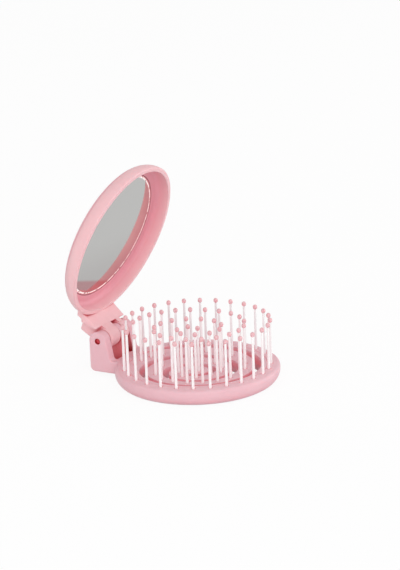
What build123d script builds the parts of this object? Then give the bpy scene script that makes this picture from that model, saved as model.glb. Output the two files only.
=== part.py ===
from build123d import *
import math
import os

# Folding pocket hairbrush with a mirror in its lid.
#
# Frame: the origin is the centre of the flat underside of the base, +Z is up,
# the hinge is at +Y with its pin along X, and the front of the brush is at -Y.
# The lid is drawn closed, lying over the base, and is then swung open about the
# pin to the angle at which the brush rests. All lengths are millimetres.

# --- Both shells -----------------------------------------------------------------
disc_radius = 35.0            # outer radius of the base and of the lid
small_gap = 0.05              # play around a piece that sits in its seat
cut_past = 1.0                # cuts start and end this far outside what they cut

# --- Base ------------------------------------------------------------------------
base_height = 7.2             # flat rim of the base above the underside
base_bottom_round = 5.3       # large round between the underside and the side
base_top_round = 1.3          # small round between the side and the flat rim
base_side_flat = 0.4          # least straight side left between the two rounds
base_rim_width = 5.4          # solid rim around the spiral plate
ledge_width = 0.9             # step in the rim that the spiral plate lies on
crease_size = 0.35            # bevel on both sides of the line around the plate

# --- Spiral plate and back plate ---------------------------------------------------
plate_thickness = 4.6         # at the edge of the spiral plate
dish_depth = 3.0              # how far the middle of the plate lies below its edge
dish_reach = 0.4              # flat border of the plate outside the dish
first_turn_inset = 9.2        # edge of the plate to the outer turn of bristles
spiral_pitch = 9.65           # from one turn of bristles to the next
spiral_centre = (0.7, 0.4)    # middle of the spiral, off the middle of the base
slot_width = 2.9
slot_offset = 5.3             # middle of the slot outside its turn of bristles

# --- Bristles ----------------------------------------------------------------------
bristle_height = 20.0         # top of the ball above the surface it stands on
bristle_spacing = 6.45        # along the spiral
first_bristle = 34.1          # along the spiral, from the start of its path
rim_bristle_count = 28
rim_row_inset = 3.9           # edge of the base to the row of bristles in its rim
rim_socket_depth = 3.5
root_radius = 0.62            # of the shaft, where it leaves the plate
neck_radius = 0.48            # of the shaft, under the ball
ball_radius = 0.95
ball_straight = 0.3           # short straight part between the two half balls
head_radius = 0.9             # foot of a shaft, held between the two plates
head_thickness = 0.6
socket_play = 0.03            # radial play around a shaft and around its head
well_width = 0.33             # sunk ring around each root
well_depth = 0.3

# --- Hinge -------------------------------------------------------------------------
axis_offset = 7.1             # pin behind the side of the base
axis_rise = 8.2               # pin above the flat rim of the base
hinge_half_width = 11.6       # outer faces of the two outer ears and of the neck
ear_thickness = 3.9           # of the two outer ears
middle_ear = (0.55, 3.3)      # the third ear, from one X to the other
ear_radius = 4.2              # around the pin
ear_foot_depth = 1.6          # the front of the ear leans out this far at its foot
ear_foot_round = 1.4
ear_edge_round = 0.5
block_lift = 1.85             # underside of the hinge block above the table
block_corner_round = 2.2
block_overlap = 1.0           # the block reaches this far past the middle of the rim
fork_floor = 3.35             # floor of the slots between the ears
fork_front = 7.1              # front wall of those slots, before the pin
fork_corner_round = 1.0
pin_radius = 1.3
pin_play = 0.05               # running fit in the ears and in the knuckles
pin_recess = 0.8              # ends of the pin below the outer faces of the ears
pin_end_bevel = 0.25
knuckle_radius = 4.8
knuckle_end_round = 0.9
knuckle_play = 0.35           # between a knuckle and the ear beside it
open_angle = 68.0             # the lid at rest, 0 closed and 180 laid flat

# --- Lid ---------------------------------------------------------------------------
lid_rise = 8.0                # rim of the closed lid above the pin
lid_wall = 2.0
lid_back_wall = 1.15
lid_back_round = 7.5
lid_rim_round = 0.5
dish_corner_round = 2.0
tip_clearance = 2.3           # balls to the mirror when the lid is closed
glass_thickness = 1.0
glass_bevel = 0.3
mirror_inset = 6.8            # edge of the lid to the edge of the mirror
adhesive_thickness = 0.15
adhesive_inset = 0.5

# --- Neck of the lid, in the closed lid and measured from the pin ---------------------
ear_pocket_play = 1.2         # around the ears, inside the neck
stop_clearance = 0.3          # stop face to the hinge block with the lid laid flat
lip = (-5.25, 2.5)            # lower front edge of the neck, in front of the ears
neck_top = (-9.15, 12.0)      # upper end of the neck's sloping front, inside the lid
shoulder_reach = 10.1         # end of the lid's back face, before the pin
shoulder_drop = 2.6
shoulder_slope = 0.6
neck_back_reach = 6.1         # upper edge of the neck's back, before the pin
neck_back_drop = 3.3          # the same edge, below the lid's back face
stop_top = 9.9                # upper edge of the stop face
stop_bevel = (0.8, 0.4)
neck_edge_round = 0.9         # front and back edges of the neck
stop_edge_plain = 0.2         # left unrounded beside the bevel of the stop face
web_height = 11.5             # upper edge of the webs over the knuckles, above the pin
web_back = 1.4                # behind the pin, at the top of a web
web_slope = 1.2               # a web grows this much wider towards its knuckle
web_round = 1.1
web_root = 2.2                # how far a web reaches into the neck

# --- Worked out from the sizes above --------------------------------------------------
seat_radius = disc_radius - base_rim_width
plate_radius = seat_radius - small_gap
ledge_radius = seat_radius - ledge_width
ledge_height = base_height - plate_thickness
back_plate_radius = ledge_radius - small_gap
dish_radius = plate_radius - dish_reach
dish_sphere = (dish_radius ** 2 + dish_depth ** 2) / (2 * dish_depth)
turn_radius = seat_radius - first_turn_inset
rim_row_radius = disc_radius - rim_row_inset
axis_y = disc_radius + axis_offset
axis_z = base_height + axis_rise
fork_half_gap = hinge_half_width - ear_thickness
knuckle_spans = (
    (-fork_half_gap + knuckle_play, middle_ear[0] - knuckle_play),
    (middle_ear[1] + knuckle_play, fork_half_gap - knuckle_play),
)
lid_rim_z = axis_z + lid_rise
mirror_z = base_height + bristle_height + tip_clearance
lid_back_z = mirror_z + glass_thickness + adhesive_thickness + lid_back_wall
lid_inner_radius = disc_radius - lid_wall
glass_radius = disc_radius - mirror_inset
pin_length = 2 * (hinge_half_width - pin_recess)
pin_axis = Axis((0, axis_y, axis_z), (1, 0, 0))

ON_FLOOR = (Align.CENTER, Align.CENTER, Align.MIN)


def dish_z(radius):
    """Height of the top of the spiral plate at a distance from its middle."""
    if radius >= dish_radius:
        return base_height
    lowest = base_height - dish_depth
    return lowest + dish_sphere - math.sqrt(dish_sphere ** 2 - radius ** 2)


def disc(radius, low, high):
    """Plain upright cylinder about the Z axis between two heights."""
    return Pos(0, 0, low) * Cylinder(radius, high - low, align=ON_FLOOR)


def cross_bar(radius, length):
    """Cylinder along X about the hinge pin's axis."""
    return Pos(0, axis_y, axis_z) * Rot(0, 90, 0) * Cylinder(radius, length)


def from_pin(*points):
    """Turns (Y, Z) points measured from the pin into points of the frame."""
    return [(axis_y + y, axis_z + z) for y, z in points]


def side_profile(points):
    """Flat outline in the YZ plane through a list of (Y, Z) corners."""
    return Plane.YZ * Polygon(*points, align=None)


def corner(outline, point, radius):
    """Rounds the corner of a side outline that lies nearest to a (Y, Z) point."""
    target = Vector(0, *point)
    nearest = min(outline.vertices(), key=lambda vertex: (Vector(vertex) - target).length)
    return fillet(nearest, radius)


def bar(outline, half_width):
    """Extrudes a side outline the same way towards -X and +X."""
    return extrude(outline, amount=half_width, both=True)


def side_edges(block):
    """Outline edges on the two outer faces of the hinge block or of the neck."""
    return block.edges().filter_by(
        lambda edge: abs(abs(edge.center().X) - hinge_half_width) < 0.01)


# --- Spiral -------------------------------------------------------------------------
def spiral_arcs():
    """Half turns of the bristle path, from the outside in.

    Each entry is (turn, centre, radius, start angle). A turn is a half circle
    about a centre shifted half a pitch sideways, then a half circle about the
    middle of the spiral, so that the path closes in by one pitch per turn.
    """
    middle_x, middle_y = spiral_centre
    arcs = []
    turn = 0
    while turn_radius - (turn - 0.5) * spiral_pitch > 2 * root_radius:
        radius = turn_radius - turn * spiral_pitch
        shifted = (middle_x - spiral_pitch / 2, middle_y)
        arcs.append((turn, shifted, radius + spiral_pitch / 2, 180.0))
        if radius > root_radius:
            arcs.append((turn, spiral_centre, radius, 0.0))
        turn += 1
    return arcs


def point_on(centre, radius, angle):
    """Point on a circle, with the angle in degrees."""
    turn = math.radians(angle)
    return centre[0] + radius * math.cos(turn), centre[1] + radius * math.sin(turn)


def spiral_places():
    """Positions of the bristles on the spiral, as (turn, x, y)."""
    places = []
    walked = 0.0
    wanted = first_bristle
    for turn, centre, radius, start in spiral_arcs():
        length = math.pi * radius
        while wanted < walked + length:
            angle = start - math.degrees((wanted - walked) / radius)
            places.append((turn, *point_on(centre, radius, angle)))
            wanted += bristle_spacing
        walked += length
    return places


def slot_face():
    """Outline of the spiral slot: its two edges and its round inner end."""
    arcs = spiral_arcs()
    inner = slot_offset - slot_width / 2
    outer = slot_offset + slot_width / 2
    edges = []
    for offset in (inner, outer):
        for _, centre, radius, start in arcs:
            edges.append(CenterArc(centre, radius + offset, start, -180))
    _, centre, radius, start = arcs[-1]
    tail = point_on(centre, radius + slot_offset, start - 180)
    edges.append(CenterArc(tail, slot_width / 2, start - 180, -180))
    _, centre, radius, start = arcs[0]
    edges.append(Line(point_on(centre, radius + inner, start), point_on(centre, radius + outer, start)))
    return make_face(Wire(edges).edges())


def rim_places():
    """Positions of the row of bristles in the rim of the base."""
    step = 360.0 / rim_bristle_count
    return [point_on((0, 0), rim_row_radius, k * step) for k in range(rim_bristle_count)]


def studs(places, radius, low, high):
    """One upright cylinder at each place, from one height to another."""
    return [Pos(x, y, low) * Cylinder(radius, high - low, align=ON_FLOOR) for x, y in places]


def root_wells(places):
    """Shallow sunk rings where the bristles leave the surface."""
    wells = []
    for x, y in places:
        floor = dish_z(math.hypot(x, y)) - well_depth
        wells += studs([(x, y)], root_radius + well_width, floor, base_height + well_depth)
    return wells


# --- Base ---------------------------------------------------------------------------
def hinge_block():
    """Solid block behind the base that carries the three ears."""
    back = axis_y + ear_radius
    foot = axis_y - ear_radius - ear_foot_depth
    inside = disc_radius - base_rim_width / 2 - block_overlap
    low = side_profile([
        (inside, block_lift),
        (back, block_lift),
        (back, axis_z),
        (axis_y - ear_radius, axis_z),
        (foot, base_height),
        (inside, base_height),
    ])
    low = corner(low, (back, block_lift), block_corner_round)
    low = corner(low, (foot, base_height), ear_foot_round)
    top = Plane.YZ * Pos(axis_y, axis_z) * Circle(ear_radius)
    block = bar(low + top, hinge_half_width)
    return fillet(side_edges(block), ear_edge_round)


def make_base_frame():
    """Rim of the base with its hinge block, ears, plate seat and rim sockets."""
    bottom_round = min(base_bottom_round, base_height - base_top_round - base_side_flat)
    body = disc(disc_radius, 0, base_height)
    body = fillet(body.edges().group_by(Axis.Z)[0], bottom_round)
    body = fillet(body.edges().group_by(Axis.Z)[-1], base_top_round)
    body += hinge_block()

    body -= disc(ledge_radius, -cut_past, base_height + cut_past)
    body -= disc(seat_radius, ledge_height, base_height + cut_past)
    crease = Pos(0, 0, base_height - crease_size) * Cone(
        seat_radius, seat_radius + 2 * crease_size, 2 * crease_size, align=ON_FLOOR)
    body -= crease

    fork_length = fork_front + 2 * ear_radius
    fork_height = axis_z + 2 * ear_radius - fork_floor
    for low, high in ((-fork_half_gap, middle_ear[0]), (middle_ear[1], fork_half_gap)):
        slot = Pos((low + high) / 2, axis_y - fork_front + fork_length / 2, fork_floor) * Box(
            high - low, fork_length, fork_height, align=ON_FLOOR)
        corners = slot.edges().filter_by(Axis.Z).group_by(Axis.Y)[0]
        body -= fillet(corners, fork_corner_round)
    body -= cross_bar(pin_radius + pin_play, 3 * hinge_half_width)

    sockets = studs(rim_places(), root_radius + socket_play,
                    base_height - rim_socket_depth, base_height + cut_past)
    return body - (sockets + root_wells(rim_places()))


def make_spiral_plate(places):
    """Dished plate in the base, cut by the spiral slot, that holds the bristles."""
    plate = disc(plate_radius, ledge_height, base_height)
    plate = chamfer(plate.edges().group_by(Axis.Z)[-1], crease_size)
    plate -= Pos(0, 0, base_height - dish_depth + dish_sphere) * Sphere(dish_sphere)
    below = ledge_height - cut_past
    plate -= extrude(Pos(0, 0, below) * slot_face(), amount=plate_thickness + 2 * cut_past)

    heads = studs(places, head_radius + socket_play, below, ledge_height + head_thickness)
    shafts = studs(places, root_radius + socket_play, below, base_height + cut_past)
    return plate - (heads + shafts + root_wells(places))


def make_back_plate():
    """Flat plate under the spiral plate with the same slot; it holds the heads in."""
    plate = disc(back_plate_radius, 0, ledge_height)
    slot = extrude(Pos(0, 0, -cut_past) * slot_face(), amount=ledge_height + 2 * cut_past)
    return plate - slot


# --- Bristles -----------------------------------------------------------------------
ball_flat = ball_straight / 2 + math.sqrt(ball_radius ** 2 - neck_radius ** 2)
ball_rise = bristle_height - ball_radius - ball_straight / 2


def make_ball():
    """Ball of a bristle about its own middle, flat where it sits on the shaft."""
    straight = Cylinder(ball_radius, ball_straight)
    upper = Pos(0, 0, ball_straight / 2) * Sphere(ball_radius)
    lower = Pos(0, 0, -ball_straight / 2) * Sphere(ball_radius)
    size = 4 * ball_radius
    below = Pos(0, 0, -ball_flat) * Box(
        size, size, size, align=(Align.CENTER, Align.CENTER, Align.MAX))
    return straight + upper + lower - below


def spiral_shaft(x, y):
    """Tapered shaft with a flat head that the back plate holds in the spiral plate."""
    top = dish_z(math.hypot(x, y)) + ball_rise - ball_flat
    stem_low = ledge_height + head_thickness
    head = Pos(x, y, ledge_height) * Cylinder(head_radius, head_thickness, align=ON_FLOOR)
    stem = Pos(x, y, stem_low) * Cone(root_radius, neck_radius, top - stem_low, align=ON_FLOOR)
    return head + stem


def rim_shaft(x, y):
    """Tapered shaft that stands in a blind socket in the rim."""
    low = base_height - rim_socket_depth
    high = base_height + ball_rise - ball_flat
    return Pos(x, y, low) * Cone(root_radius, neck_radius, high - low, align=ON_FLOOR)


def balls(places, ball):
    """One ball on top of each bristle."""
    return [Pos(x, y, dish_z(math.hypot(x, y)) + ball_rise) * ball for x, y in places]


# --- Lid, drawn closed ----------------------------------------------------------------
def neck_side():
    """Full-width part of the neck that joins the lid to the hinge."""
    back = lid_back_z - axis_z
    root = -(axis_offset + lid_wall + lid_back_round)
    stop = -(ear_radius + stop_clearance)
    outline = side_profile(from_pin(
        (root, neck_top[1]), neck_top, lip, (0, lip[1]), (0, stop_top), (stop, stop_top),
        (stop - stop_bevel[0], stop_top + stop_bevel[1]),
        (-neck_back_reach, back - neck_back_drop),
        (shoulder_slope - shoulder_reach, back - shoulder_drop),
        (-shoulder_reach, back), (root, back)))
    neck = bar(outline, hinge_half_width)
    seen = side_edges(neck).filter_by_position(
        Axis.Y, axis_y - shoulder_reach, axis_y + stop - stop_bevel[0] - stop_edge_plain)
    neck = fillet(seen, neck_edge_round)
    behind = side_profile(from_pin(
        (stop, 0), (ear_radius, 0), (ear_radius, stop_top), (stop, stop_top)))
    neck -= bar(behind, 2 * hinge_half_width)
    return neck - cross_bar(ear_radius + ear_pocket_play, 3 * hinge_half_width)


def knuckle(low, high):
    """Barrel around the pin, from one X to the other, and the web that ties it to the neck."""
    stop = -(ear_radius + stop_clearance)
    top = (web_back, web_height)
    web = side_profile(from_pin(
        (0, 0), (-knuckle_radius, 0), lip, (stop - web_root, stop_top), (stop, web_height), top,
        (web_back + web_slope, knuckle_radius), (knuckle_radius / 2, 0)))
    web = corner(web, from_pin(top)[0], web_round)
    inset = knuckle_end_round / 2
    web = extrude(Pos(low + inset, 0, 0) * web, amount=high - low - 2 * inset, dir=(1, 0, 0))
    barrel = Pos((low + high) / 2, 0, 0) * cross_bar(knuckle_radius, high - low)
    return web + fillet(barrel.edges().filter_by(GeomType.CIRCLE), knuckle_end_round)


def make_lid_shell():
    """Lid with its dish, the recess for the mirror, its neck and its two knuckles."""
    shell = disc(disc_radius, lid_rim_z, lid_back_z)
    shell = fillet(shell.edges().group_by(Axis.Z)[-1], lid_back_round)
    shell = fillet(shell.edges().group_by(Axis.Z)[0], lid_rim_round)
    shell += neck_side()
    for low, high in knuckle_spans:
        shell += knuckle(low, high)

    dish = disc(lid_inner_radius, axis_z, mirror_z)
    shell -= fillet(dish.edges().group_by(Axis.Z)[-1], dish_corner_round)
    shell -= disc(glass_radius + small_gap, axis_z, lid_back_z - lid_back_wall)
    return shell - cross_bar(pin_radius + pin_play, 3 * hinge_half_width)


def make_mirror_glass():
    """Round mirror, flush with the floor of the dish."""
    glass = disc(glass_radius, mirror_z, mirror_z + glass_thickness)
    return chamfer(glass.edges().group_by(Axis.Z)[0], glass_bevel)


def make_mirror_adhesive():
    """Layer that holds the mirror in its recess."""
    low = mirror_z + glass_thickness
    return disc(glass_radius - adhesive_inset, low, low + adhesive_thickness)


def make_hinge_pin():
    """Pin through the three ears and the two knuckles."""
    pin = cross_bar(pin_radius, pin_length)
    ends = pin.edges().filter_by(GeomType.CIRCLE)
    return chamfer(ends, pin_end_bevel)


def opened(shape):
    """Swings a piece of the lid from closed to the angle of the brush at rest."""
    return shape.rotate(pin_axis, -open_angle)


# --- Output ---------------------------------------------------------------------------
def save(name, pieces):
    """Writes one node, made of one solid or of several separate ones."""
    solids = pieces if isinstance(pieces, list) else [pieces]
    shape = solids[0] if len(solids) == 1 else Compound(children=solids)
    export_step(shape, f"parts/{name}.step")


def main():
    os.makedirs("parts", exist_ok=True)
    on_spiral = spiral_places()
    turns = max(turn for turn, _, _ in on_spiral)
    flat_places = [(x, y) for _, x, y in on_spiral]
    ball = make_ball()

    save("base_frame", make_base_frame())
    save("spiral_plate", make_spiral_plate(flat_places))
    save("back_plate", make_back_plate())
    save("hinge_pin", make_hinge_pin())

    rows = {
        "outer_turn": [(x, y) for turn, x, y in on_spiral if turn == 0],
        "inner_turn": [(x, y) for turn, x, y in on_spiral if 0 < turn < turns],
        "centre": [(x, y) for turn, x, y in on_spiral if turn == turns],
    }
    for row, places in rows.items():
        save(f"{row}_shafts", [spiral_shaft(x, y) for x, y in places])
        save(f"{row}_tips", balls(places, ball))
    save("rim_shafts", [rim_shaft(x, y) for x, y in rim_places()])
    save("rim_tips", balls(rim_places(), ball))

    save("lid_shell", opened(make_lid_shell()))
    save("mirror_glass", opened(make_mirror_glass()))
    save("mirror_adhesive", opened(make_mirror_adhesive()))


if __name__ == "__main__":
    main()
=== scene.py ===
"""Dresses the folding pocket brush: finishes for its pieces, floor, light and camera."""

from __future__ import annotations

import logging
import math
from dataclasses import dataclass, field
from enum import Enum
from typing import Any, Mapping, Sequence, Union

import bmesh
import bpy
from mathutils import Matrix, Vector

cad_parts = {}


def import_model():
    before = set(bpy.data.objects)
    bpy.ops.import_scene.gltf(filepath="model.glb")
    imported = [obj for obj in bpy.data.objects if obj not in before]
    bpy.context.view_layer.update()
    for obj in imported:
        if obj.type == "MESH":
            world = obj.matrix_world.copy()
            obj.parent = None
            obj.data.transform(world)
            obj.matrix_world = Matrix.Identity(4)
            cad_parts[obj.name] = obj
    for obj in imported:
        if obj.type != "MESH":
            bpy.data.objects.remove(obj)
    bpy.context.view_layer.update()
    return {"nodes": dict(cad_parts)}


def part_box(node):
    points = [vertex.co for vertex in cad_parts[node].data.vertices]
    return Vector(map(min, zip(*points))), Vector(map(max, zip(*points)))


LOG = logging.getLogger("pocket_brush")

MM = 0.001

Colour = tuple[float, float, float, float]
Point = tuple[float, float, float]
Span = tuple[float, float]
Nodes = Mapping[str, bpy.types.Object]

BLACK: Colour = (0.0, 0.0, 0.0, 1.0)
WHITE: Colour = (1.0, 1.0, 1.0, 1.0)
SWATCH_TOP = 255.0
NOISE_MIDDLE = 0.5


def swatch(red: int, green: int, blue: int) -> Colour:
    """Turns a swatch card's 0 to 255 values into a linear colour, by the sRGB curve.

    Args:
        red: Red value of the swatch.
        green: Green value of the swatch.
        blue: Blue value of the swatch.

    Returns:
        The linear colour with an alpha of 1.
    """
    linear = []
    for value in (red, green, blue):
        share = value / SWATCH_TOP
        linear.append(share / 12.92 if share <= 0.04045 else ((share + 0.055) / 1.055) ** 2.4)
    return (linear[0], linear[1], linear[2], 1.0)


# --- Shader trees ----------------------------------------------------------------------
class Axis(Enum):
    """Coordinates of a place, by the number of their socket."""

    X = 0
    Y = 1
    Z = 2


class Ray(Enum):
    """Kinds of ray that a surface can tell apart, by the name of their socket."""

    CAMERA = "Is Camera Ray"
    GLOSSY = "Is Glossy Ray"


@dataclass(frozen=True)
class Pattern:
    """Soft random pattern: its patches per metre, and how many finer ones are added."""

    scale: float
    detail: float = 2.0


@dataclass(frozen=True)
class Signal:
    """One output socket of a node tree that takes part in Python arithmetic."""

    graph: Graph
    socket: bpy.types.NodeSocket

    def _math(self, operation: str, first: Feed, second: Feed) -> Signal:
        """Adds a Math node on two values and returns its result."""
        return self.graph.add("ShaderNodeMath", {"operation": operation}, {0: first, 1: second})

    def __add__(self, other: Feed) -> Signal:
        """Sum."""
        return self._math("ADD", self, other)

    __radd__ = __add__

    def __sub__(self, other: Feed) -> Signal:
        """Difference."""
        return self._math("SUBTRACT", self, other)

    def __rsub__(self, other: Feed) -> Signal:
        """Difference with the signal on the right, as in 1 - mask."""
        return self._math("SUBTRACT", other, self)

    def __mul__(self, other: Feed) -> Signal:
        """Product."""
        return self._math("MULTIPLY", self, other)

    __rmul__ = __mul__

    def __neg__(self) -> Signal:
        """The value with its sign turned."""
        return 0.0 - self

    def larger(self, other: Feed) -> Signal:
        """The larger of the two values."""
        return self._math("MAXIMUM", self, other)

    def smooth(self, low: float, high: float) -> Signal:
        """Rises softly from 0 at one value to 1 at another.

        Args:
            low: Value at which the result is 0.
            high: Value at which the result is 1.

        Returns:
            The eased result, held between 0 and 1.
        """
        return self.graph.add(
            "ShaderNodeMapRange",
            {"interpolation_type": "SMOOTHSTEP"},
            {"Value": self, "From Min": low, "From Max": high, "To Min": 0.0, "To Max": 1.0},
        )


Feed = Union[Signal, float, Sequence[float]]
Feeds = Mapping[Union[int, str], Feed]


class Graph:
    """Node tree of one material or of the world, with one way of adding a node."""

    SHELTER_SAMPLES = 8
    EDGE_SAMPLES = 6
    SCALAR_RESULTS = ("LENGTH", "DOT_PRODUCT", "DISTANCE")
    MIX_SOCKETS = (0, 6, 7)
    MIX_RESULT = 2

    def __init__(self, tree: bpy.types.NodeTree) -> None:
        """Empties the tree, so that only the nodes added here are left."""
        self.tree = tree
        self.tree.nodes.clear()

    def add(
        self,
        kind: str,
        settings: Mapping[str, Any] | None = None,
        feeds: Feeds | None = None,
        output: Union[int, str] = 0,
    ) -> Signal:
        """Adds a node, sets it up and joins what feeds it.

        Args:
            kind: Blender's type name of the node.
            settings: Properties of the node, set before its sockets.
            feeds: Values or signals by socket name or number.
            output: Socket that is returned.

        Returns:
            The chosen output of the new node, or its first input where it has no output.
        """
        node = self.tree.nodes.new(kind)
        for name, value in (settings or {}).items():
            setattr(node, name, value)
        for key, feed in (feeds or {}).items():
            if isinstance(feed, Signal):
                self.tree.links.new(feed.socket, node.inputs[key])
            else:
                node.inputs[key].default_value = feed
        return Signal(self, node.outputs[output] if node.outputs else node.inputs[0])

    def place(self) -> Signal:
        """Object coordinates, in metres in the brush's own frame."""
        return self.add("ShaderNodeTexCoord", output="Object")

    def ray(self, kind: Ray) -> Signal:
        """1 for rays of the given kind and 0 for the others."""
        return self.add("ShaderNodeLightPath", output=kind.value)

    def vector(self, operation: str, first: Feed, second: Feed | None = None) -> Signal:
        """Does vector arithmetic.

        Args:
            operation: Blender's name of the operation.
            first: First vector.
            second: Second vector, if the operation has one.

        Returns:
            The resulting vector, or the value where the operation gives one.
        """
        feeds = {0: first} if second is None else {0: first, 1: second}
        output = "Value" if operation in self.SCALAR_RESULTS else "Vector"
        return self.add("ShaderNodeVectorMath", {"operation": operation}, feeds, output)

    def along(self, place: Signal, axis: Axis) -> Signal:
        """One coordinate of a place, in metres."""
        return self.add("ShaderNodeSeparateXYZ", {}, {0: place}, axis.value)

    def noise(self, place: Signal, pattern: Pattern) -> Signal:
        """Value of a soft random pattern, around 0.5, that follows the given coordinates."""
        feeds = {"Vector": place, "Scale": pattern.scale, "Detail": pattern.detail}
        return self.add("ShaderNodeTexNoise", {}, feeds)

    def blend(self, share: Feed, first: Feed, second: Feed) -> Signal:
        """Mixes two colours.

        Args:
            share: How much of the second colour, from 0 to 1.
            first: Colour at 0.
            second: Colour at 1.

        Returns:
            The mixed colour.
        """
        settings = {"data_type": "RGBA", "clamp_factor": True}
        feeds = dict(zip(self.MIX_SOCKETS, (share, first, second)))
        return self.add("ShaderNodeMix", settings, feeds, self.MIX_RESULT)

    def painted_shade_share(self, reach: float) -> Signal:
        """How closed in a place is, from 0 in the open to 1 far inside a cavity; it sets painted
        shade.

        Args:
            reach: Distance in metres at which walls count.

        Returns:
            The share of the surroundings that is closed.
        """
        openness = self.add(
            "ShaderNodeAmbientOcclusion",
            {"samples": self.SHELTER_SAMPLES},
            {"Distance": reach},
            "AO",
        )
        return 1.0 - openness

    def relief(self, height: Signal, depth: float, edge_round: float = 0.0) -> Signal:
        """Turns a height pattern, and a small round on sharp edges, into a normal.

        Args:
            height: Height from 0 to 1.
            depth: Height of 1, in metres.
            edge_round: Radius of the round on sharp edges, in metres.

        Returns:
            The normal.
        """
        feeds: dict[Union[int, str], Feed] = {"Height": height, "Distance": depth, "Strength": 1.0}
        if edge_round > 0:
            feeds["Normal"] = self.add(
                "ShaderNodeBevel", {"samples": self.EDGE_SAMPLES}, {"Radius": edge_round})
        return self.add("ShaderNodeBump", {}, feeds)

    def principled(self, feeds: Feeds) -> Signal:
        """Shader of a solid surface, from the values or signals of its sockets."""
        return self.add("ShaderNodeBsdfPrincipled", {}, feeds)

    def mix_shaders(self, share: Feed, first: Signal, second: Signal) -> Signal:
        """Mixes two shaders, with share as how much of the second one."""
        return self.add("ShaderNodeMixShader", {}, {0: share, 1: first, 2: second})

    def surface(self, shader: Signal) -> None:
        """Joins a shader to the output of a material's tree."""
        self.add("ShaderNodeOutputMaterial", {}, {"Surface": shader})


# --- Finishes --------------------------------------------------------------------------
@dataclass(frozen=True)
class Finish:
    """What every finish has: a name and a method that makes its material."""

    name: str

    def shade(self, graph: Graph) -> Signal:
        """Builds the shader in the material's empty tree; each finish has its own."""
        raise NotImplementedError

    def make(self) -> bpy.types.Material:
        """Makes the material.

        Returns:
            The new material.
        """
        material = bpy.data.materials.new(self.name)
        material.use_nodes = True
        graph = Graph(material.node_tree)
        graph.surface(self.shade(graph))
        return material


@dataclass(frozen=True)
class MouldedPlastic(Finish):
    """Satin moulded plastic with painted shade that darkens its colour where walls close in.

    The fork's red painted shade takes over along Y in fork_place, and closed-in places keep
    their open colour below open_height, near what the brush stands on. Painted bounce light
    makes the shade colour glow faintly.
    """

    colour: Colour = swatch(245, 199, 207)
    cloud_colour: Colour = swatch(242, 194, 203)
    painted_shade_colour: Colour = swatch(232, 134, 146)
    fork_painted_shade_colour: Colour = swatch(196, 24, 38)
    clouds: Pattern = Pattern(55.0, 4.0)
    streaks: Pattern = Pattern(240.0)
    cloud_share: float = 0.6
    pigment_range: Span = (0.35, 0.65)
    fork_place: Span = (32.0 * MM, 37.0 * MM)
    painted_bounce_glow: float = 0.17
    cavity_reach: float = 6.0 * MM
    cavity_range: Span = (0.30, 0.85)
    fork_range: Span = (0.24, 0.72)
    open_height: Span = (0.8 * MM, 4.0 * MM)
    roughness: float = 0.46
    cloud_gloss: float = 0.10
    grain_gloss: float = 0.06
    refraction: float = 1.47
    grain_size: float = 0.22 * MM
    grain_depth: float = 0.006 * MM
    edge_round: float = 0.35 * MM
    glow_through: float = 0.12
    glow_spread: Point = (1.0, 0.45, 0.40)
    glow_depth: float = 1.4 * MM

    def _pigment(self, graph: Graph, place: Signal, pattern: Signal) -> Signal:
        """Colour of the plastic out in the open, uneven by a pattern from 0 to 1."""
        return graph.blend(pattern, self.colour, self.cloud_colour)

    def shade(self, graph: Graph) -> Signal:
        """Pigment clouds, painted shade and painted bounce glow in cavities, fine mould grain and
        soft edges.

        Args:
            graph: Empty tree of the new material.

        Returns:
            The finished shader.
        """
        place = graph.place()
        clouds = graph.noise(place, self.clouds)
        streaks = graph.noise(place, self.streaks)
        grain = graph.noise(place, Pattern(1.0 / self.grain_size))
        uneven = self.cloud_share * clouds + (1.0 - self.cloud_share) * streaks
        pigment = self._pigment(graph, place, uneven.smooth(*self.pigment_range))
        # Painted shade: the colour darkens in cavities and turns red in the hinge fork, where
        # shade falls.
        closed_in = graph.painted_shade_share(self.cavity_reach)
        in_fork = graph.along(place, Axis.Y).smooth(*self.fork_place)
        painted_shade_share = closed_in.smooth(*self.cavity_range)
        painted_shade_share = painted_shade_share + in_fork * (closed_in.smooth(*self.fork_range) - painted_shade_share)
        painted_shade_share = painted_shade_share * graph.along(place, Axis.Z).smooth(*self.open_height)
        painted_shade_tone = graph.blend(in_fork, self.painted_shade_colour, self.fork_painted_shade_colour)
        uneven_gloss = (self.cloud_gloss * (clouds - NOISE_MIDDLE)
                        + self.grain_gloss * (grain - NOISE_MIDDLE))
        return graph.principled({
            "Base Color": graph.blend(painted_shade_share, pigment, painted_shade_tone),
            "Roughness": self.roughness + uneven_gloss,
            "IOR": self.refraction,
            "Subsurface Weight": self.glow_through,
            "Subsurface Radius": self.glow_spread,
            "Subsurface Scale": self.glow_depth,
            # Painted bounce light: the shade colour glows in cavities outside the fork.
            "Emission Color": graph.blend(painted_shade_share * (1.0 - in_fork), BLACK, painted_shade_tone),
            "Emission Strength": self.painted_bounce_glow,
            "Normal": graph.relief(grain, self.grain_depth, self.edge_round),
        })


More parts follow.
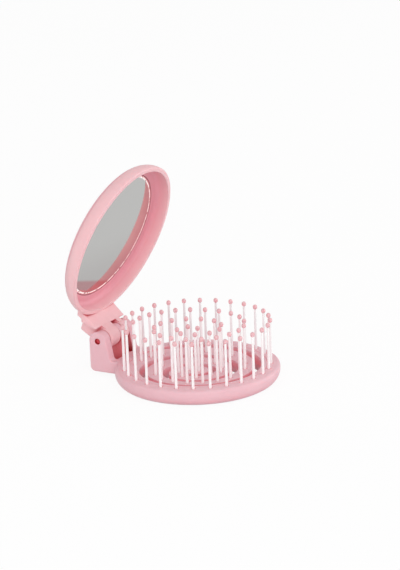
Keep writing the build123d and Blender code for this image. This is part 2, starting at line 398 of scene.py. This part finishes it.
@dataclass(frozen=True)
class ForkedPlastic(MouldedPlastic):
    """Moulded plastic of the base, with red painted shade between the ears of the hinge.

    The painted shade lies within half_gap of the middle along X, behind gap_start along Y
    and below gap_top along Z.
    """

    fork_gap_shade_colour: Colour = swatch(240, 142, 150)
    half_gap: Span = (7.55 * MM, 7.85 * MM)
    gap_start: Span = (34.6 * MM, 35.4 * MM)
    gap_top: Span = (13.0 * MM, 17.0 * MM)

    def _pigment(self, graph: Graph, place: Signal, pattern: Signal) -> Signal:
        """Open colour, and a red painted shade inside the fork.

        Args:
            graph: Tree of the material.
            place: Coordinates on the shell.
            pattern: Uneven pattern of the pigment, from 0 to 1.

        Returns:
            The colour.
        """
        aside = graph.along(place, Axis.X)
        between = 1.0 - aside.larger(-aside).smooth(*self.half_gap)
        behind = graph.along(place, Axis.Y).smooth(*self.gap_start)
        below = 1.0 - graph.along(place, Axis.Z).smooth(*self.gap_top)
        shell = super()._pigment(graph, place, pattern)
        # Painted shade: red between the ears of the hinge, where the fork lies in shade.
        return graph.blend(between * behind * below, shell, self.fork_gap_shade_colour)


@dataclass(frozen=True)
class DishPlastic(MouldedPlastic):
    """Moulded plastic of the lid, with painted shade inside its dish and a painted shadow
    along the mirror's seam.

    Distances are taken from centre, the middle of the mirror, and heights along facing,
    the way the mirror looks with the lid at rest.
    """

    colour: Colour = swatch(253, 205, 209)
    cloud_colour: Colour = swatch(250, 200, 205)
    painted_shade_colour: Colour = swatch(226, 112, 126)
    fork_painted_shade_colour: Colour = swatch(222, 94, 108)
    painted_bounce_glow: float = 0.04
    dish_shade_colour: Colour = swatch(237, 169, 181)
    dish_edge: Span = (32.6 * MM, 33.8 * MM)
    dish_floor: Span = (0.0, 0.3 * MM)
    seam_radius: float = 28.6 * MM
    seam_width: float = 0.35 * MM
    seam_shadow_colour: Colour = swatch(132, 50, 54)
    centre: Vector = field(default_factory=Vector)
    facing: Point = (0.0, -0.927, -0.375)

    def _pigment(self, graph: Graph, place: Signal, pattern: Signal) -> Signal:
        """Open colour, painted shade inside the dish and the painted shadow at the seam.

        Args:
            graph: Tree of the material.
            place: Coordinates on the shell.
            pattern: Uneven pattern of the pigment, from 0 to 1.

        Returns:
            The colour.
        """
        from_centre = graph.vector("SUBTRACT", place, tuple(self.centre))
        distance = graph.vector("LENGTH", from_centre)
        height = graph.vector("DOT_PRODUCT", from_centre, self.facing)
        above = height.smooth(*self.dish_floor)
        inside = above * (1.0 - distance.smooth(*self.dish_edge))
        seam_start = distance.smooth(self.seam_radius - self.seam_width, self.seam_radius)
        seam_end = distance.smooth(self.seam_radius, self.seam_radius + self.seam_width)
        seam = above * (seam_start - seam_end)
        shell = super()._pigment(graph, place, pattern)
        # Painted shade inside the dish, and a painted shadow in the gap at the mirror's seam.
        dish = graph.blend(inside, shell, self.dish_shade_colour)
        return graph.blend(seam, dish, self.seam_shadow_colour)


@dataclass(frozen=True)
class BristlePlastic(Finish):
    """Milky drawn plastic with faint lengthwise streaks.

    Painted shade turns it greyer towards the far side, over a place measured along X with a
    slant of Y.
    """

    colour: Colour = swatch(254, 252, 252)
    streak_colour: Colour = swatch(249, 243, 245)
    shaded_side_colour: Colour = swatch(239, 238, 239)
    stretch: Point = (1.0, 1.0, 0.04)
    streaks: Pattern = Pattern(4200.0)
    streak_range: Span = (0.45, 0.75)
    streak_depth: float = 0.004 * MM
    shaded_side_place: Span = (4.0 * MM, 32.0 * MM)
    shaded_side_slant: float = 0.5
    roughness: float = 0.30
    streak_gloss: float = 0.12
    refraction: float = 1.5
    painted_glow: float = 0.06

    def shade(self, graph: Graph) -> Signal:
        """Streaks along the shaft, painted shade on the far side, and a painted glow.

        Args:
            graph: Empty tree of the new material.

        Returns:
            The finished shader.
        """
        place = graph.place()
        stretched = graph.add("ShaderNodeMapping", {}, {"Vector": place, "Scale": self.stretch})
        streaks = graph.noise(stretched, self.streaks)
        milky = graph.blend(
            streaks.smooth(*self.streak_range), self.colour, self.streak_colour)
        # Painted shade: greyer towards the far side, where the rows lie in shade.
        aside = graph.along(place, Axis.X) + self.shaded_side_slant * graph.along(place, Axis.Y)
        colour = graph.blend(aside.smooth(*self.shaded_side_place), milky, self.shaded_side_colour)
        return graph.principled({
            "Base Color": colour,
            "Roughness": self.roughness + self.streak_gloss * (streaks - NOISE_MIDDLE),
            "IOR": self.refraction,
            # Painted glow: the shaft's own colour glows though it is no lamp.
            "Emission Color": colour,
            "Emission Strength": self.painted_glow,
            "Normal": graph.relief(streaks, self.streak_depth),
        })


@dataclass(frozen=True)
class TipPlastic(Finish):
    """Glossy beads of soft plastic on the bristles."""

    colour: Colour = swatch(246, 200, 205)
    shade_colour: Colour = swatch(239, 187, 193)
    patches: Pattern = Pattern(700.0)
    patch_range: Span = (0.35, 0.7)
    peel: Pattern = Pattern(3200.0)
    peel_depth: float = 0.010 * MM
    roughness: float = 0.32
    peel_gloss: float = 0.15
    refraction: float = 1.48
    glow_through: float = 0.25
    glow_spread: Point = (1.0, 0.5, 0.45)
    glow_depth: float = 0.6 * MM

    def shade(self, graph: Graph) -> Signal:
        """Slightly uneven pink with the small orange peel of a moulded bead.

        Args:
            graph: Empty tree of the new material.

        Returns:
            The finished shader.
        """
        place = graph.place()
        patches = graph.noise(place, self.patches)
        peel = graph.noise(place, self.peel)
        return graph.principled({
            "Base Color": graph.blend(
                patches.smooth(*self.patch_range), self.colour, self.shade_colour),
            "Roughness": self.roughness + self.peel_gloss * (peel - NOISE_MIDDLE),
            "IOR": self.refraction,
            "Subsurface Weight": self.glow_through,
            "Subsurface Radius": self.glow_spread,
            "Subsurface Scale": self.glow_depth,
            "Normal": graph.relief(peel, self.peel_depth),
        })


@dataclass(frozen=True)
class SilveredGlass(Finish):
    """Mirror with a bright, flecked ground edge, partly painted highlight, and a faint haze of
    fingerprints.

    The silver gets brighter over low_place, along Z, and carries a painted rosy reflection
    of the lid's neck low down, below a place along Z with a slant of X.
    """

    silver: Colour = (0.72, 0.625, 0.60, 1.0)
    low_silver: Colour = (0.64, 0.54, 0.52, 1.0)
    reflected_neck_silver: Colour = (0.62, 0.28, 0.29, 1.0)
    fleck_colour: Colour = swatch(140, 84, 82)
    ground_edge: Colour = swatch(255, 248, 244)
    centre: Vector = field(default_factory=Vector)
    glass_radius: float = 28.2 * MM
    edge_width: float = 1.0 * MM
    edge_softness: float = 0.25 * MM
    painted_edge_glow: float = 0.3
    low_place: Span = (38.0 * MM, 62.0 * MM)
    reflected_neck_place: Span = (37.9 * MM, 39.6 * MM)
    reflected_neck_slant: float = 0.267
    haze: Pattern = Pattern(90.0, 5.0)
    haze_depth: float = 0.002 * MM
    smears: Pattern = Pattern(420.0, 3.0)
    flecks: Pattern = Pattern(900.0)
    fleck_range: Span = (0.56, 0.62)
    polish: float = 0.025
    haze_gloss: float = 0.05
    ground_gloss: float = 0.14

    def shade(self, graph: Graph) -> Signal:
        """Silver with a painted reflection low down, brighter and rougher on the ground edge,
        which glows as a painted highlight.

        Args:
            graph: Empty tree of the new material.

        Returns:
            The finished shader.
        """
        place = graph.place()
        offset = graph.vector("DISTANCE", place, tuple(self.centre))
        edge_start = self.glass_radius - self.edge_width
        edge = offset.smooth(edge_start, edge_start + self.edge_softness)
        haze = graph.noise(place, self.haze)
        smears = graph.noise(place, self.smears)
        height = graph.along(place, Axis.Z)
        slanted = height + self.reflected_neck_slant * graph.along(place, Axis.X)
        silver = graph.blend(height.smooth(*self.low_place), self.low_silver, self.silver)
        # Painted reflection: rosy silver low down, where the glass would pick up the lid's neck.
        silver = graph.blend(slanted.smooth(*self.reflected_neck_place), self.reflected_neck_silver, silver)
        flecks = graph.noise(place, self.flecks).smooth(*self.fleck_range)
        rim = graph.blend(flecks, self.ground_edge, self.fleck_colour)
        smeared = self.polish + self.haze_gloss * (haze * smears)
        return graph.principled({
            "Base Color": graph.blend(edge, silver, rim),
            "Metallic": 1.0 - edge,
            "Roughness": smeared + self.ground_gloss * edge,
            # The ground edge is partly its own pale colour and partly a painted highlight that
            # glows though it is no lamp.
            "Emission Color": graph.blend(edge, BLACK, rim),
            "Emission Strength": self.painted_edge_glow,
            "Normal": graph.relief(haze, self.haze_depth),
        })


@dataclass(frozen=True)
class Glue(Finish):
    """Thin layer of off-white adhesive behind the mirror."""

    colour: Colour = swatch(226, 222, 208)
    rope_colour: Colour = swatch(206, 200, 182)
    ropes: Pattern = Pattern(160.0, 4.0)
    rope_range: Span = (0.4, 0.6)
    rope_depth: float = 0.05 * MM
    roughness: float = 0.5
    rope_gloss: float = 0.2

    def shade(self, graph: Graph) -> Signal:
        """Ropy, slightly tacky surface.

        Args:
            graph: Empty tree of the new material.

        Returns:
            The finished shader.
        """
        ropes = graph.noise(graph.place(), self.ropes)
        return graph.principled({
            "Base Color": graph.blend(
                ropes.smooth(*self.rope_range), self.colour, self.rope_colour),
            "Roughness": self.roughness + self.rope_gloss * ropes,
            "Normal": graph.relief(ropes, self.rope_depth),
        })


@dataclass(frozen=True)
class StudioPaper(Finish):
    """White paper sweep that keeps a soft shadow under the brush."""

    colour: Colour = (0.93, 0.93, 0.93, 1.0)
    mirrored: Colour = (0.67, 0.765, 0.78, 1.0)
    shadow_share: float = 0.08
    roughness: float = 0.9
    fibres: Pattern = Pattern(900.0, 4.0)
    fibre_depth: float = 0.01 * MM

    def shade(self, graph: Graph) -> Signal:
        """Paper that is lit, mixed with its own plain tone where it is seen or mirrored.

        Args:
            graph: Empty tree of the new material.

        Returns:
            The finished shader.
        """
        fibres = graph.noise(graph.place(), self.fibres)
        paper = graph.add("ShaderNodeBsdfDiffuse", {}, {
            "Color": self.colour,
            "Roughness": self.roughness,
            "Normal": graph.relief(fibres, self.fibre_depth),
        })
        mirrored = graph.ray(Ray.GLOSSY)
        seen = graph.ray(Ray.CAMERA).larger(mirrored)
        tone = graph.add(
            "ShaderNodeEmission", {}, {"Color": graph.blend(mirrored, WHITE, self.mirrored)})
        return graph.mix_shaders(seen * (1.0 - self.shadow_share), paper, tone)


# --- The brush -------------------------------------------------------------------------
class Row(Enum):
    """The rows that the bristles stand in, by the names of their pieces."""

    OUTER_TURN = "outer_turn"
    INNER_TURN = "inner_turn"
    CENTRE = "centre"
    RIM = "rim"


@dataclass
class CadPart:
    """A piece carried over from the CAD model that gets a finish."""

    node: str
    finish: Finish

    def dress(self, nodes: Nodes) -> None:
        """Gives the piece its material in place of the imported one.

        Args:
            nodes: The imported objects by name.
        """
        piece = nodes[self.node]
        piece.data.materials.clear()
        piece.data.materials.append(self.finish.make())
        LOG.info("%s: %s", self.node, self.finish.name)


@dataclass
class BaseHalf:
    """Base with its plates, hinge ears and pin."""

    shell: MouldedPlastic = ForkedPlastic("base_shell_pink")
    plate: MouldedPlastic = MouldedPlastic("spiral_plate_pink")
    back: MouldedPlastic = MouldedPlastic("back_plate_pink")
    pin: MouldedPlastic = MouldedPlastic(
        "hinge_pin_red",
        colour=swatch(224, 84, 94),
        cloud_colour=swatch(216, 72, 84),
        fork_painted_shade_colour=swatch(190, 40, 52),
        edge_round=0.1 * MM,
    )

    def build(self, nodes: Nodes) -> None:
        """Dresses the base's own pieces.

        Args:
            nodes: The imported objects by name.
        """
        for node, finish in (
            ("base_frame", self.shell),
            ("spiral_plate", self.plate),
            ("back_plate", self.back),
            ("hinge_pin", self.pin),
        ):
            CadPart(node, finish).dress(nodes)


@dataclass
class BristleField:
    """The four rows of bristles, each with its shafts and its beads."""

    shaft: BristlePlastic = BristlePlastic("milky_bristle")
    tip: TipPlastic = TipPlastic("pink_bead")

    def build(self, nodes: Nodes) -> None:
        """Dresses the bristles.

        Args:
            nodes: The imported objects by name.
        """
        for row in Row:
            CadPart(f"{row.value}_shafts", self.shaft).dress(nodes)
            CadPart(f"{row.value}_tips", self.tip).dress(nodes)


@dataclass
class LidHalf:
    """Lid with its mirror."""

    glue: Glue = Glue("mirror_glue")

    def build(self, nodes: Nodes) -> None:
        """Dresses the lid's own pieces.

        Args:
            nodes: The imported objects by name.
        """
        low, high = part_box("mirror_glass")
        middle = (low + high) / 2
        for node, finish in (
            ("lid_shell", DishPlastic("lid_shell_pink", centre=middle)),
            ("mirror_glass", SilveredGlass("mirror_silver", centre=middle)),
            ("mirror_adhesive", self.glue),
        ):
            CadPart(node, finish).dress(nodes)


# --- Studio ----------------------------------------------------------------------------
@dataclass(frozen=True)
class Lamp:
    """Square soft box that points at the brush, with its power in watts."""

    name: str
    place: Point
    power: float
    size: float

    def build(self, target: Vector) -> None:
        """Hangs the lamp.

        Args:
            target: Point that the lamp is turned to.
        """
        light = bpy.data.lights.new(self.name, "AREA")
        light.energy = self.power
        light.size = self.size
        lamp = bpy.data.objects.new(self.name, light)
        lamp.location = self.place
        lamp.rotation_mode = "QUATERNION"
        lamp.rotation_quaternion = (target - Vector(self.place)).to_track_quat("-Z", "Y")
        bpy.context.scene.collection.objects.link(lamp)
        LOG.info("lamp %s", self.name)


@dataclass(frozen=True)
class Viewpoint:
    """Camera at a low three-quarter view from the front left.

    Its angles are in degrees, its lens and sensor in millimetres and the rest in metres.
    """

    azimuth: float = -60.594
    elevation: float = 16.165
    roll: float = -2.081
    distance: float = 779.702 * MM
    slide_right: float = 10.626 * MM
    slide_up: float = 10.521 * MM
    lens: float = 116.76
    sensor: float = 36.0
    reach: Span = (0.05, 20.0)

    def build(self, target: Vector) -> None:
        """Sets the camera up and makes it the scene's own.

        Args:
            target: Point that it looks at before it slides aside and up.
        """
        turn, rise, roll = (math.radians(v) for v in (self.azimuth, self.elevation, self.roll))
        right = Vector((math.cos(turn), math.sin(turn), 0.0))
        front = Vector((-math.sin(turn), math.cos(turn), 0.0))
        upright = Vector((0.0, 0.0, 1.0))
        up = front * math.sin(rise) + upright * math.cos(rise)
        back = upright * math.sin(rise) - front * math.cos(rise)
        tilted_right = right * math.cos(roll) + up * math.sin(roll)
        tilted_up = up * math.cos(roll) - right * math.sin(roll)
        slide = tilted_right * self.slide_right + tilted_up * self.slide_up
        axes = Matrix((tilted_right, tilted_up, back)).transposed()

        data = bpy.data.cameras.new("camera")
        data.lens = self.lens
        data.sensor_width = self.sensor
        data.clip_start, data.clip_end = self.reach
        camera = bpy.data.objects.new("camera", data)
        camera.rotation_mode = "QUATERNION"
        camera.rotation_quaternion = axes.to_quaternion()
        camera.location = target + back * self.distance + slide
        bpy.context.scene.collection.objects.link(camera)
        bpy.context.scene.camera = camera
        LOG.info("camera set")


@dataclass
class Studio:
    """White sweep, soft light and the camera."""

    target: Vector = field(default_factory=lambda: Vector((0.0, 10.0 * MM, 30.0 * MM)))
    floor_size: float = 6.0
    floor_cells: int = 2
    ambient: Colour = (1.0, 0.99, 0.985, 1.0)
    ambient_level: float = 0.70
    lamps: tuple[Lamp, ...] = (
        Lamp("left box", (-0.84, -0.47, 0.28), 3.1, 0.7),
        Lamp("right box", (0.75, -0.70, 0.30), 2.9, 0.7),
    )
    viewpoint: Viewpoint = Viewpoint()

    def build(self) -> None:
        """Lays the floor, hangs the lamps and sets the camera."""
        self._floor()
        self._world()
        for lamp in self.lamps:
            lamp.build(self.target)
        self.viewpoint.build(self.target)
        bpy.context.scene.view_settings.view_transform = "Standard"

    def _floor(self) -> None:
        """Flat white sheet at the height the brush stands on."""
        mesh = bmesh.new()
        bmesh.ops.create_grid(
            mesh,
            x_segments=self.floor_cells,
            y_segments=self.floor_cells,
            size=self.floor_size / 2,
        )
        data = bpy.data.meshes.new("sweep")
        mesh.to_mesh(data)
        mesh.free()
        data.materials.append(StudioPaper("sweep_paper").make())
        floor = bpy.data.objects.new("sweep", data)
        bpy.context.scene.collection.objects.link(floor)
        LOG.info("sweep laid")

    def _world(self) -> None:
        """Plain surroundings: soft light for the brush, white where they are seen."""
        world = bpy.data.worlds.new("studio")
        world.use_nodes = True
        bpy.context.scene.world = world
        graph = Graph(world.node_tree)
        soft = graph.add(
            "ShaderNodeBackground", {}, {"Color": self.ambient, "Strength": self.ambient_level})
        white = graph.add("ShaderNodeBackground", {}, {"Color": WHITE})
        both = graph.mix_shaders(graph.ray(Ray.CAMERA), soft, white)
        graph.add("ShaderNodeOutputWorld", {}, {"Surface": both})


def main() -> None:
    """Loads the CAD model, dresses it and sets up the studio."""
    logging.basicConfig(level=logging.INFO, format="%(name)s: %(message)s")
    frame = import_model()
    nodes = frame["nodes"]
    BaseHalf().build(nodes)
    BristleField().build(nodes)
    LidHalf().build(nodes)
    Studio().build()


if __name__ == "__main__":
    main()
